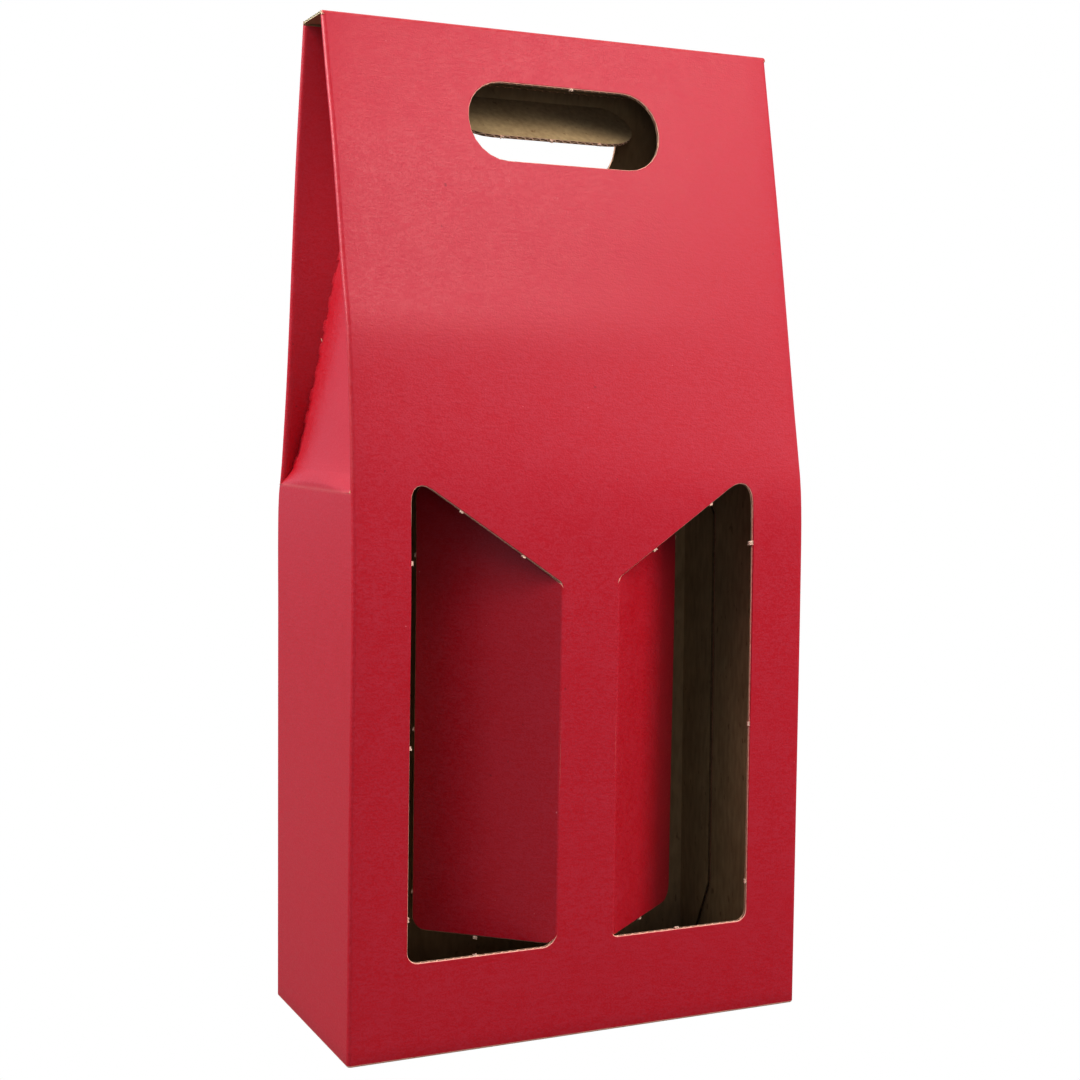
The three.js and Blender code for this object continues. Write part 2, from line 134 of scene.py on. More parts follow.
# Gussets
WING_START = 0.2012
GUSSET_TOP = 0.3680
CREASE_INSET = (
    (SHOULDER, 0.0002), (0.207, 0.0046), (0.230, 0.0084), (0.255, 0.0116),
    (0.285, 0.0158), (0.322, 0.0268), (GUSSET_TOP, 0.0437),
)
CENTRE_SWELL = 0.0024
MITRE = 0.8
WING_LEAST_REACH = FOLD * 1.02
WING_LEAST_TURN = math.pi / 2 + 0.2
WING_MOST_TURN = math.radians(200)
TOOTH_PITCH = 0.0086
TOOTH_SHARE = 0.5
TOOTH_STEP = 0.0004
TOOTH_REACH = (0.0002, 0.0007)
TOOTH_LIFT = 0.0003
CREASE_EDGE = 0.02
TORN_CREASE = (0.2545, math.radians(70))
TORN_CREASE_SIZE = (1.3, 0.4, 0.5, 1)

# Columns of the gussets, as shares of their width: closer together at the folds
WING_COLUMNS = (0.01, 0.02, 0.03, 0.04, 0.05, 0.06, 0.08, 0.11, 0.16, 0.25, 0.4, 0.6, 0.8, 0.95)
CENTRE_COLUMNS = (0.015, 0.06, 0.12, 0.2, 0.3, 0.4, 0.5, 0.6, 0.7, 0.8, 0.88, 0.94, 0.985)

# Base and seam
SEAM_WIDTH = 0.024
SEAM_END = 0.010
SEAM_LOWER_TAPER = 0.028
SEAM_UPPER_TAPER = 0.012
SEAM_GLUE = 0.0003
SEAM_END_ROUNDING = 0.002
SEAM_EDGE_ROUNDING = 0.003
LOCK_OVERREACH = 0.012
LOCK_SLANT = 0.010
SIDE_FLAP_REACH = 0.042
SIDE_FLAP_TAPER = 0.006
SIDE_FLAP_ROUNDING = 0.004
BASE_STACK = 3 * BOARD
BASE_EDGE_ROUNDING = 0.0009

# Torn bits left by the die
NICK_WIDTH = 0.0015
NICK_REACH = 0.0011
NICK_THICKNESS = 0.0009
NICK_RAGGED = 0.00022
NICK_EVENNESS = 0.6
NICK_CUTS = 2

# Wear of the print: pale where it is folded or pressed, and a painted highlight down the middle of the
# rounded upright folds beside the roof
ROOF_FOLD_WEAR_AND_HIGHLIGHT = 0.02
RIDGE_FOLD_WEAR = 0.10
RIDGE_WEAR_REACH = 0.6
SHOULDER_WEAR = 0.07
SHOULDER_LINE = 0.0009

# Fineness of the meshes
COLUMN = 0.009
ROW = 0.006
ARC_STEPS = 8
CORNER_STEPS = 6
FOOT_STEPS = 3
SMOOTH_ANGLE = math.radians(32)

# Small steps, and limits of tests
TINY = 1e-5
PROBE = 0.0005
SIDESTEP = 0.01
FACING_SIDE = 0.5


def read(line, place):
    """A smooth line through points, read at one place"""
    last = len(line) - 1
    i = 0
    while i < last - 1 and place > line[i + 1][0]:
        i += 1
    slopes = []
    for k in (i, i + 1):
        before, after = line[max(k - 1, 0)], line[min(k + 1, last)]
        slopes.append((after[1] - before[1]) / (after[0] - before[0]))
    (start, low), (end, high) = line[i], line[i + 1]
    span = end - start
    t = min(max((place - start) / span, 0), 1)
    rise = low + (high - low) * t * t * (3 - 2 * t)
    return rise + span * t * (1 - t) * ((1 - t) * slopes[0] - t * slopes[1])


def mix(first, second, share):
    return first + (second - first) * share


def wall_inset(facing, x, height):
    left, right = WALL_LINES[facing]
    return mix(read(left, height), read(right, height), (x + HALF_WIDTH) / (2 * HALF_WIDTH))


def wall_lean(facing, x, height):
    rise = wall_inset(facing, x, height + PROBE) - wall_inset(facing, x, height - PROBE)
    return math.atan2(rise, 2 * PROBE)


def wall_point(facing, x, height, depth):
    """A point of the front or back wall, at a depth below its print"""
    lean = wall_lean(facing, x, height)
    inset = wall_inset(facing, x, height) + depth * math.cos(lean)
    return Vector((x, facing * (HALF_DEPTH - inset), height - depth * math.sin(lean)))


def wrap(across, depth):
    """Where a point of a wall's blank goes as the blank turns round the upright fold at its edge"""
    turn = max(abs(across) - FLAT_HALF, 0) / FOLD
    if turn == 0:
        return across, depth
    reach = FOLD - depth
    return math.copysign(FLAT_HALF + reach * math.sin(turn), across), FOLD - reach * math.cos(turn)


def front_place(across, height, depth):
    x, depth = wrap(across, depth)
    return wall_point(FRONT, x, height, depth)


def back_place(across, height, depth):
    x, depth = wrap(-across, depth)
    return wall_point(BACK, x, height, depth)


def crease_place(axis, ahead, outward, turn):
    """Places of a flap that turns about a crease on the kraft side: along is the way from the crease"""
    def place(along, depth):
        arc = min(max(along / BOARD, 0), turn)
        past = along - arc * BOARD
        radial = outward * math.cos(arc) + ahead * math.sin(arc)
        onward = ahead * math.cos(arc) - outward * math.sin(arc)
        return axis + radial * (BOARD - depth) + onward * past
    return place


def deselect():
    bpy.ops.object.select_all(action="DESELECT")


def editing(piece):
    deselect()
    piece.select_set(True)
    bpy.context.view_layer.objects.active = piece
    bpy.ops.object.mode_set(mode="EDIT")


def modelled():
    bpy.ops.object.mode_set(mode="OBJECT")


def started(name):
    piece = bpy.context.object
    piece.name = name
    piece.data.name = name
    return piece


def pick(piece, kind, wanted):
    """Selects the faces or points that pass a test, and stays in edit mode"""
    editing(piece)
    bpy.ops.mesh.select_mode(type="FACE" if kind == "polygons" else "VERT")
    bpy.ops.mesh.select_all(action="DESELECT")
    modelled()
    for part in getattr(piece.data, kind):
        part.select = wanted(part)
    bpy.ops.object.mode_set(mode="EDIT")


def flat_outline(name, corners, roundings):
    """A flat face with rounded corners, print side up"""
    deselect()
    bpy.ops.mesh.primitive_circle_add(vertices=len(corners), fill_type="NGON")
    piece = started(name)
    for point, corner in zip(piece.data.vertices, corners):
        point.co = Vector((*corner, 0))
    for corner, rounding in zip(corners, roundings):
        if rounding:
            k = corners.index(corner)
            middle = Vector(corner)
            back = (Vector(corners[k - 1]) - middle).normalized()
            ahead = (Vector(corners[(k + 1) % len(corners)]) - middle).normalized()
            reach = rounding / math.tan(back.angle(ahead) / 2)
            pick(piece, "vertices", lambda point: (point.co.xy - middle).length < TINY)
            bpy.ops.mesh.bevel(offset=reach, segments=CORNER_STEPS, affect="VERTICES")
            modelled()
    editing(piece)
    bpy.ops.mesh.select_all(action="SELECT")
    bpy.ops.mesh.normals_make_consistent(inside=False)
    modelled()
    if piece.data.polygons[0].normal.z < 0:
        editing(piece)
        bpy.ops.mesh.select_all(action="SELECT")
        bpy.ops.mesh.flip_normals()
        modelled()
    return piece


def grown(corners, distances):
    """An anticlockwise outline with each edge moved outwards by its own distance"""
    edges = []
    for k, corner in enumerate(corners):
        along = (Vector(corners[(k + 1) % len(corners)]) - Vector(corner)).normalized()
        edges.append((Vector(corner) + Vector((along.y, -along.x)) * distances[k], along))
    result = []
    for k, (start, along) in enumerate(edges):
        before, before_along = edges[k - 1]
        step = (start - before).cross(along) / before_along.cross(along)
        result.append(tuple(before + before_along * step))
    return result


def close_below(piece, drop):
    """Extrudes the open rim of a flat shape and fills the far end"""
    editing(piece)
    bpy.ops.mesh.select_mode(type="EDGE")
    bpy.ops.mesh.select_all(action="DESELECT")
    bpy.ops.mesh.select_non_manifold()
    bpy.ops.mesh.extrude_edges_move(TRANSFORM_OT_translate={"value": (0, 0, drop)})
    bpy.ops.mesh.edge_face_add()
    bpy.ops.mesh.select_all(action="SELECT")
    bpy.ops.mesh.normals_make_consistent(inside=False)
    modelled()


def die(corners, roundings):
    """The die of an opening: it presses a lip into the print and then goes right through the board"""
    piece = flat_outline("die", corners, roundings)
    pick(piece, "polygons", lambda face: True)
    bpy.ops.mesh.inset(thickness=LIP, depth=-LIP)
    bpy.ops.mesh.extrude_region_move(TRANSFORM_OT_translate={"value": (0, 0, -2 * BOARD)})
    modelled()
    close_below(piece, BOARD)
    return piece


def flap_board(name, corners, roundings):
    """A board with a pressed lip round its print side"""
    piece = flat_outline(name, corners, roundings)
    pick(piece, "polygons", lambda face: True)
    bpy.ops.mesh.inset(thickness=LIP, depth=LIP)
    bpy.ops.mesh.select_all(action="SELECT")
    bpy.ops.transform.translate(value=(0, 0, -LIP))
    modelled()
    close_below(piece, LIP - BOARD)
    return piece


def panel_board(name, low, high):
    """A plain rectangular board, print side up"""
    deselect()
    bpy.ops.mesh.primitive_plane_add(size=1)
    piece = started(name)
    editing(piece)
    bpy.ops.mesh.select_all(action="SELECT")
    bpy.ops.transform.resize(value=(high[0] - low[0], high[1] - low[1], 1))
    bpy.ops.transform.translate(value=((low[0] + high[0]) / 2, (low[1] + high[1]) / 2, 0))
    bpy.ops.mesh.extrude_region_move(TRANSFORM_OT_translate={"value": (0, 0, -BOARD)})
    bpy.ops.mesh.select_all(action="SELECT")
    bpy.ops.mesh.normals_make_consistent(inside=False)
    modelled()
    return piece


def score(piece, direction, places):
    """Cuts rows or columns into a board, so that it can bend"""
    editing(piece)
    normal = Vector(direction)
    for place in places:
        bpy.ops.mesh.select_all(action="SELECT")
        bpy.ops.mesh.bisect(plane_co=normal * place, plane_no=normal)
    modelled()


def spaced(low, high, pitch):
    count = max(round((high - low) / pitch), 1)
    return [mix(low, high, k / count) for k in range(1, count)]


def cut(piece, tool):
    change = piece.modifiers.new("cut", "BOOLEAN")
    change.operation = "DIFFERENCE"
    change.solver = "EXACT"
    change.object = tool
    deselect()
    bpy.context.view_layer.objects.active = piece
    bpy.ops.object.modifier_apply(modifier=change.name)
    bpy.data.objects.remove(tool)


def paint(piece, printed_below=None, creased_from=None, edge=None):
    """Print above, kraft below and the cut edge between them, apart from ends at a fold or a crease"""
    for finish in (PRINT, KRAFT, edge or CUT_EDGE):
        piece.data.materials.append(finish)
    for face in piece.data.polygons:
        folds_round = printed_below is not None and face.center.y < printed_below
        creased = creased_from is not None and face.center.y > creased_from
        if face.normal.z > FACING_SIDE or (folds_round and face.normal.z > -FACING_SIDE):
            face.material_index = 0
        elif face.normal.z < -FACING_SIDE or creased:
            face.material_index = 1
        else:
            face.material_index = 2


def on_blank(x, y, run):
    """The place of a torn bit on a flat blank, and the way its edge runs there"""
    return Matrix.Translation((x, y, -BOARD / 2)) @ Matrix.Rotation(run, 4, "Z")


def add_nicks(piece, places):
    """Torn bits of board on an edge"""
    bits = []
    for k, place in enumerate(places):
        deselect()
        bpy.ops.mesh.primitive_cube_add(size=1)
        bit = started("torn_bit")
        editing(bit)
        bpy.ops.mesh.select_all(action="SELECT")
        bpy.ops.transform.resize(value=(NICK_WIDTH, NICK_REACH, NICK_THICKNESS))
        bpy.ops.mesh.subdivide(number_cuts=NICK_CUTS)
        bpy.ops.transform.vertex_random(offset=NICK_RAGGED, seed=k + len(piece.name), uniform=NICK_EVENNESS)
        modelled()
        bit.data.transform(place)
        bit.data.materials.append(TORN)
        bits.append(bit)
    deselect()
    for bit in bits:
        bit.select_set(True)
    piece.select_set(True)
    bpy.context.view_layer.objects.active = piece
    bpy.ops.object.join()


def folded(piece, place, paleness=lambda across, height, depth: 0):
    """Marks the depth in the board and the wear, with the painted fold highlight, at each point, then moves
    every point to its folded place
    """
    through = piece.data.attributes.new("through", "FLOAT", "POINT")
    wear = piece.data.attributes.new("wear", "FLOAT", "POINT")
    for k, point in enumerate(piece.data.vertices):
        across, height, depth = point.co.x, point.co.y, -point.co.z
        through.data[k].value = depth / BOARD
        pressed = 1 if TINY < depth < BOARD / 2 else 0
        wear.data[k].value = max(pressed, paleness(across, height, depth))
        point.co = place(across, height, depth)
    editing(piece)
    bpy.ops.mesh.select_all(action="SELECT")
    bpy.ops.mesh.normals_make_consistent(inside=False)
    modelled()
    deselect()
    piece.select_set(True)
    bpy.ops.object.shade_smooth_by_angle(angle=SMOOTH_ANGLE)


def stands_for(piece, node, body="carton"):
    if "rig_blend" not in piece:
        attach(piece, body)
    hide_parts(node)


# The sRGB curve from screen levels to light
SCREEN_WHITE = 255
SRGB_FOOT_END = 10
SRGB_FOOT_SLOPE = 12.92
SRGB_OFFSET = 0.055
SRGB_POWER = 2.4

# Screen colours of the finishes, and of the cut edges: paper, paler paper and the painted shade of the
# hollows between the flutes
INK = (186, 11, 33)
PALE_INK = (187, 39, 55)
SPECK_COLOUR = (232, 150, 150)
DIRT_COLOUR = (120, 6, 18)
# Pale rubbed ink, also used as the painted highlight of the rounded upright folds beside the roof
RUBBED_AND_HIGHLIGHT_COLOUR = (242, 186, 160)
BROWN = (152, 126, 90)
PALE_BROWN = (184, 158, 118)
FLECK_COLOUR = (118, 84, 48)
TORN_COLOUR = (212, 168, 144)
PALE_TORN_COLOUR = (240, 214, 190)
CUT_COLOURS = ((222, 176, 142), (240, 206, 176), (120, 84, 62))
# The seam flap's cut edge: kraft brown, darkened as a painted shadow line beside the flap
KRAFT_CUT_AND_SHADOW_COLOURS = ((96, 74, 50), (122, 96, 66), (44, 32, 22))
PALE_CUT_COLOURS = ((214, 198, 160), (240, 228, 194), (70, 56, 34))

# Grains: scale and detail of the noise, and its stretch along the axes
PRINT_CLOUD = (110, 3)
PRINT_FLEECE = (760, 3, (0.45, 0.45, 1.4))
PRINT_MOTTLE = (1500, 2, (1, 1, 1.3))
PRINT_SPECKS = (640, 1)
PRINT_DIRT = (330, 1)
KRAFT_FIBRE = (520, 4, (1, 1, 0.25))
KRAFT_CLOUD = (60, 3)
KRAFT_FLECKS = (380, 2, (1, 1, 0.5))
CUT_FIBRE = (900, 3)
TORN_FIBRE = (1800, 4)

# Between which values of a grain a look changes, and the values it then has, if not 0 to 1
INK_RANGE = (0.42, 0.58)
SHEEN_RANGE = (0.41, 0.59, 0.33, 0.52)
SPECK_RANGE = (0.82, 0.85)
DIRT_RANGE = (0.20, 0.16)
RUBBED_AND_HIGHLIGHT_RANGE = (0.3, 0.62, 0.8, 1.8)
FIBRE_RANGE = (0.3, 0.7)
FLECK_RANGE = (0.66, 0.74)

# How much each grain adds to a look or to the relief
CLOUD_SHARE = 0.14
FLEECE_SHARE = 0.28
MOTTLE_SHARE = 0.58
SPECK_SHARE = 0.5
DIRT_SHARE = 0.5
FLEECE_RELIEF = 0.5
KRAFT_CLOUD_SHARE = 0.4
KRAFT_FIBRE_SHARE = 0.6
FLECK_SHARE = 0.6
FLUTE_RELIEF = 0.25

# Roughness and gloss of a surface, then strength and depth of its relief
PRINT_SURFACE = (0.5, 0.58)
KRAFT_SURFACE = (0.8, 0.25)
CUT_SURFACE = (0.85, 0.2)
TORN_SURFACE = (0.95, 0.1)
PRINT_RELIEF = (0.32, 0.0002)
KRAFT_RELIEF = (0.3, 0.0003)
CUT_RELIEF = (0.5, 0.0002)
TORN_RELIEF = (0.8, 0.0003)

# Flutes: the washboard they press into the liner, and their wave in a cut, as shares of the board
WASHBOARD = {"Scale": 95.0, "Distortion": 0.4, "Detail": 1.0}
FLUTE_PITCH = 0.0031
FLUTE_SWING = 0.26
FLUTE_MIDDLE = 0.52
FLUTE_RANGE = (0.10, 0.20, 1, 0)
LINER_RANGE = (0.27, 0.33)


def light_value(level):
    """A screen level from 0 to 255 as the renderer's light value"""
    share = level / SCREEN_WHITE
    if level <= SRGB_FOOT_END:
        return share / SRGB_FOOT_SLOPE
    return ((share + SRGB_OFFSET) / (1 + SRGB_OFFSET)) ** SRGB_POWER


def linear(colour):
    """A screen colour as the renderer's light values"""
    return (*map(light_value, colour), 1)


def node(tree, kind, values=None, **links):
    """A shader node with its settings, its plain values and what its inputs are linked to"""
    made = tree.nodes.new(kind)
    for key, value in (values or {}).items():
        if isinstance(key, str) and hasattr(made, key):
            setattr(made, key, value)
        else:
            made.inputs[key].default_value = value
    for key, source in links.items():
        tree.links.new(source, made.inputs[key.replace("_", " ")])
    return made


def blank_finish(name, roughness, specular):
    material = bpy.data.materials.new(name)
    material.use_nodes = True
    tree = material.node_tree
    shader = tree.nodes["Principled BSDF"]
    shader.inputs["Roughness"].default_value = roughness
    shader.inputs["Specular IOR Level"].default_value = specular
    spot = node(tree, "ShaderNodeTexCoord").outputs["Object"]
    return material, tree, shader, spot


def grain(tree, spot, scale, detail=2, stretch=(1, 1, 1)):
    turned = node(tree, "ShaderNodeMapping", {"Scale": stretch}, Vector=spot)
    noise = node(tree, "ShaderNodeTexNoise", {"Scale": scale, "Detail": detail}, Vector=turned.outputs[0])
    return noise.outputs["Fac"]


def ranged(tree, value, low, high, to_low=0.0, to_high=1.0):
    values = {"From Min": low, "From Max": high, "To Min": to_low, "To Max": to_high}
    return node(tree, "ShaderNodeMapRange", values, Value=value).outputs["Result"]


def sums(tree, operation, first, second):
    made = node(tree, "ShaderNodeMath", {"operation": operation})
    for socket, value in zip(made.inputs, (first, second)):
        if isinstance(value, (int, float)):
            socket.default_value = value
        else:
            tree.links.new(value, socket)
    return made.outputs[0]


def weighted(tree, *terms):
    """The sum of values, each times its weight"""
    total = 0
    for value, weight in terms:
        total = sums(tree, "ADD", total, sums(tree, "MULTIPLY", value, weight))
    return total


def blended(tree, share, first, second):
    """One colour over another, by a share: each colour is plain or comes from a node"""
    made = node(tree, "ShaderNodeMix", {"data_type": "RGBA"})
    tree.links.new(share, made.inputs["Factor"])
    colour_inputs = [socket for socket in made.inputs if socket.type == "RGBA"]
    for socket, colour in zip(colour_inputs, (first, second)):
        if isinstance(colour, tuple):
            socket.default_value = colour
        else:
            tree.links.new(colour, socket)
    return next(socket for socket in made.outputs if socket.type == "RGBA")


def relief(tree, shader, height, strength, distance):
    bump = node(tree, "ShaderNodeBump", {"Strength": strength, "Distance": distance}, Height=height)
    tree.links.new(bump.outputs["Normal"], shader.inputs["Normal"])


def print_finish():
    """Red ink on a fine white liner: mottled, with pale and dark specks, pale worn folds and a painted
    highlight down the upright folds beside the roof
    """
    material, tree, shader, spot = blank_finish("red_print", *PRINT_SURFACE)
    cloud = grain(tree, spot, *PRINT_CLOUD)
    fleece = grain(tree, spot, *PRINT_FLEECE)
    mottle = grain(tree, spot, *PRINT_MOTTLE)
    share = weighted(tree, (cloud, CLOUD_SHARE), (fleece, FLEECE_SHARE), (mottle, MOTTLE_SHARE))
    ink = blended(tree, ranged(tree, share, *INK_RANGE), linear(INK), linear(PALE_INK))
    speck = ranged(tree, grain(tree, spot, *PRINT_SPECKS), *SPECK_RANGE)
    ink = blended(tree, sums(tree, "MULTIPLY", speck, SPECK_SHARE), ink, linear(SPECK_COLOUR))
    dirt = ranged(tree, grain(tree, spot, *PRINT_DIRT), *DIRT_RANGE)
    ink = blended(tree, sums(tree, "MULTIPLY", dirt, DIRT_SHARE), ink, linear(DIRT_COLOUR))
    # The wear attribute also carries the painted highlight of the upright folds beside the roof
    wear = node(tree, "ShaderNodeAttribute", {"attribute_name": "wear"}).outputs["Fac"]
    rubbed_and_highlight = sums(tree, "MULTIPLY", wear, ranged(tree, fleece, *RUBBED_AND_HIGHLIGHT_RANGE))
    ink = blended(tree, sums(tree, "MINIMUM", rubbed_and_highlight, 1), ink, linear(RUBBED_AND_HIGHLIGHT_COLOUR))
    tree.links.new(ink, shader.inputs["Base Color"])
    tree.links.new(ranged(tree, share, *SHEEN_RANGE), shader.inputs["Roughness"])
    relief(tree, shader, weighted(tree, (share, 1), (fleece, FLEECE_RELIEF)), *PRINT_RELIEF)
    return material


def kraft_finish():
    """Plain brown liner: long fibres, dark flecks and the faint washboard of the flutes"""
    material, tree, shader, spot = blank_finish("kraft_liner", *KRAFT_SURFACE)
    fibre = grain(tree, spot, *KRAFT_FIBRE)
    cloud = grain(tree, spot, *KRAFT_CLOUD)
    share = weighted(tree, (cloud, KRAFT_CLOUD_SHARE), (fibre, KRAFT_FIBRE_SHARE))
    brown = blended(tree, ranged(tree, share, *FIBRE_RANGE), linear(BROWN), linear(PALE_BROWN))
    fleck = ranged(tree, grain(tree, spot, *KRAFT_FLECKS), *FLECK_RANGE)
    brown = blended(tree, sums(tree, "MULTIPLY", fleck, FLECK_SHARE), brown, linear(FLECK_COLOUR))
    tree.links.new(brown, shader.inputs["Base Color"])
    flute = node(tree, "ShaderNodeTexWave", WASHBOARD, Vector=spot).outputs["Fac"]
    relief(tree, shader, weighted(tree, (fibre, 1), (flute, FLUTE_RELIEF)), *KRAFT_RELIEF)
    return material


def cut_edge_finish(name, paper, pale_paper, hollow_shade):
    """The cut through the board: two liners and the flute paper between them, over painted shade where the
    hollows between the flutes are
    """
    material, tree, shader, spot = blank_finish(name, *CUT_SURFACE)
    depth = node(tree, "ShaderNodeAttribute", {"attribute_name": "through"}).outputs["Fac"]
    place = node(tree, "ShaderNodeSeparateXYZ", Vector=spot)
    across = sums(tree, "ADD", place.outputs["X"], place.outputs["Y"])
    wave = sums(tree, "SINE", sums(tree, "MULTIPLY", across, 2 * math.pi / FLUTE_PITCH), 0)
    flute = sums(tree, "ADD", sums(tree, "MULTIPLY", wave, FLUTE_SWING), FLUTE_MIDDLE)
    from_flute = sums(tree, "ABSOLUTE", sums(tree, "SUBTRACT", depth, flute), 0)
    from_middle = sums(tree, "ABSOLUTE", sums(tree, "SUBTRACT", depth, FLUTE_MIDDLE), 0)
    flute_paper = ranged(tree, from_flute, *FLUTE_RANGE)
    liner = ranged(tree, from_middle, *LINER_RANGE)
    solid = sums(tree, "MAXIMUM", flute_paper, liner)
    fibre = grain(tree, spot, *CUT_FIBRE)
    pale = blended(tree, ranged(tree, fibre, *FIBRE_RANGE), linear(paper), linear(pale_paper))
    # Painted shade fills the hollows between the flute paper and the liners
    tree.links.new(blended(tree, solid, linear(hollow_shade), pale), shader.inputs["Base Color"])
    relief(tree, shader, sums(tree, "ADD", fibre, solid), *CUT_RELIEF)
    return material


def torn_finish():
    """Torn fibres of the pale middle of the liner"""
    material, tree, shader, spot = blank_finish("torn_fibre", *TORN_SURFACE)
    fibre = grain(tree, spot, *TORN_FIBRE)
    pale = blended(tree, ranged(tree, fibre, *FIBRE_RANGE), linear(TORN_COLOUR), linear(PALE_TORN_COLOUR))
    tree.links.new(pale, shader.inputs["Base Color"])
    relief(tree, shader, fibre, *TORN_RELIEF)
    return material


PRINT = print_finish()
KRAFT = kraft_finish()
CUT_EDGE = cut_edge_finish("cut_edge", *CUT_COLOURS)
KRAFT_EDGE_AND_SHADOW = cut_edge_finish("kraft_edge", *KRAFT_CUT_AND_SHADOW_COLOURS)
PALE_EDGE = cut_edge_finish("pale_edge", *PALE_CUT_COLOURS)
TORN = torn_finish()


def window_corners(side):
    """Anticlockwise, starting at the lower end of the crease"""
    corners = [
        (POST_HALF, WINDOW_BOTTOM[side]),
        (WINDOW_OUTER[side], WINDOW_BOTTOM[side]),
        (WINDOW_OUTER[side], WINDOW_TIP[side]),
        (POST_HALF, WINDOW_INNER_TOP[side]),
    ]
    return corners if side == RIGHT else [(-x, z) for x, z in reversed(corners)]


def by_side(side, values):
    """Values for the edges of a window, in the order that its corners have on that side"""
    bottom, outer, slant, hinge = values
    return [bottom, outer, slant, hinge] if side == RIGHT else [slant, outer, bottom, hinge]


def window_roundings(side, corner, extra):
    roundings = (LOW_HINGE_ROUNDING[side], corner, TIP_ROUNDING[side], HIGH_HINGE_ROUNDING)
    grown_roundings = [rounding + extra for rounding in roundings]
    return grown_roundings if side == RIGHT else grown_roundings[::-1]


def window_nicks(side, end_gap, gap):
    """Places of the torn bits round a window, or round its flap when there is a gap to it"""
    rise = WINDOW_TIP[side] - WINDOW_INNER_TOP[side]
    slope = math.atan2(rise, WINDOW_OUTER[side] - POST_HALF)
    outer = side * (WINDOW_OUTER[side] - end_gap)
    places = [on_blank(outer, z, math.pi / 2) for z in OUTER_NICKS[side]]
    if side == RIGHT:
        places.append(on_blank(outer, LARGE_NICK_HEIGHT, 0) @ Matrix.Diagonal(LARGE_NICK_SIZE))
    for x in SLANT_NICKS:
        z = WINDOW_INNER_TOP[side] + (x - POST_HALF) * math.tan(slope) - gap
        places.append(on_blank(side * x, z, side * slope))
    places.append(on_blank(side * BOTTOM_NICK[side], WINDOW_BOTTOM[side] + gap, 0))
    return places


def slot_corners(middle, top, bottom):
    left, right = middle - SLOT_HALF, middle + SLOT_HALF
    return [(left, bottom), (right, bottom), (right, top), (left, top)]


def slot_die(middle):
    bottom = SLOT_TOP - SLOT_HEIGHT * math.cos(LEAN)
    rounding = SLOT_ROUNDNESS * (SLOT_TOP - bottom) / 2
    return die(grown(slot_corners(middle, SLOT_TOP, bottom), [LIP] * 4), [rounding] * 4)


def fold_wear_and_highlight(across, height, depth):
    """The pale line along the upright folds beside the roof: rubbed ink, and a painted highlight down the
    middle of the rounded fold
    """
    middle = FLAT_HALF + FOLD * math.pi / 4
    line = max(0, 1 - abs(abs(across) - middle) / (FOLD * math.pi / 4))
    return ROOF_FOLD_WEAR_AND_HIGHLIGHT * line if height > SHOULDER and depth < TINY else 0


def round_foot(piece):
    """Rounds the lower edge of a wall's print, where the board turns under to the base"""
    pick(piece, "vertices", lambda point: point.co.y < TINY and point.co.z > -TINY)
    bpy.ops.mesh.bevel(offset=BASE_EDGE_ROUNDING, segments=FOOT_STEPS, affect="EDGES")
    modelled()


def wall_blank(name, top):
    piece = panel_board(name, (-BLANK_HALF, 0), (BLANK_HALF, top))
    round_foot(piece)
    folds = [FLAT_HALF + FOLD * math.pi / 2 * k / ARC_STEPS for k in range(ARC_STEPS)]
    score(piece, (1, 0, 0), [-x for x in folds] + spaced(-FLAT_HALF, FLAT_HALF, COLUMN) + folds)
    score(piece, (0, 1, 0), spaced(0, top, ROW))
    return piece


def front_panel():
    piece = wall_blank("front_panel_board", RIDGE_START)
    for side in (LEFT, RIGHT):
        edges = by_side(side, (LIP, LIP, LIP, 0))
        cut(piece, die(grown(window_corners(side), edges), window_roundings(side, CORNER_ROUNDING, LIP)))
    cut(piece, slot_die(SLOT_MIDDLE))
    paint(piece, BASE_EDGE_ROUNDING)
    slot_nick = on_blank(SLOT_NICK, SLOT_TOP, 0)
    add_nicks(piece, window_nicks(LEFT, 0, 0) + window_nicks(RIGHT, 0, 0) + [slot_nick])
    folded(piece, front_place, fold_wear_and_highlight)
    stands_for(piece, "front_panel")


def back_panel():
    piece = wall_blank("back_panel_board", RIDGE)
    cut(piece, slot_die(-SLOT_MIDDLE))
    paint(piece, BASE_EDGE_ROUNDING)
    folded(piece, back_place, fold_wear_and_highlight)
    stands_for(piece, "back_panel")


def side_panel(side, name):
    """Between the folds of the front and back walls, up to the crease at the shoulder"""
    def place(across, height, depth):
        x = side * HALF_WIDTH
        ends = [wall_point(facing, x, height, FOLD) for facing in (FRONT, BACK)]
        share = (side * across + HALF_DEPTH) / (2 * HALF_DEPTH)
        spot = ends[0].lerp(ends[1], share)
        spot.x = side * (HALF_WIDTH - depth)
        spot.z = height
        return spot

    def paleness(across, height, depth):
        return SHOULDER_WEAR * max(0, 1 - (SHOULDER - height) / SHOULDER_LINE) if depth < TINY else 0

    piece = panel_board(f"{name}_side_board", (-HALF_DEPTH, 0), (HALF_DEPTH, SHOULDER))
    round_foot(piece)
    score(piece, (1, 0, 0), spaced(-HALF_DEPTH, HALF_DEPTH, COLUMN))
    score(piece, (0, 1, 0), spaced(0, SHOULDER, ROW) + [SHOULDER - SHOULDER_LINE])
    paint(piece, BASE_EDGE_ROUNDING)
    folded(piece, place, paleness)
    stands_for(piece, f"{name}_side_panel")


def crease_spot(side, facing, height):
    """Where the valley crease of a gusset lies, by the height of the row on its wall"""
    share = (height - SHOULDER) / (GUSSET_TOP - SHOULDER)
    x = side * (HALF_WIDTH - read(CREASE_INSET, height))
    edge = HALF_DEPTH - wall_inset(facing, side * HALF_WIDTH, height)
    start = (edge + HALF_DEPTH) / 2 - FOLD
    return Vector((x, facing * mix(start, 0, share), height))


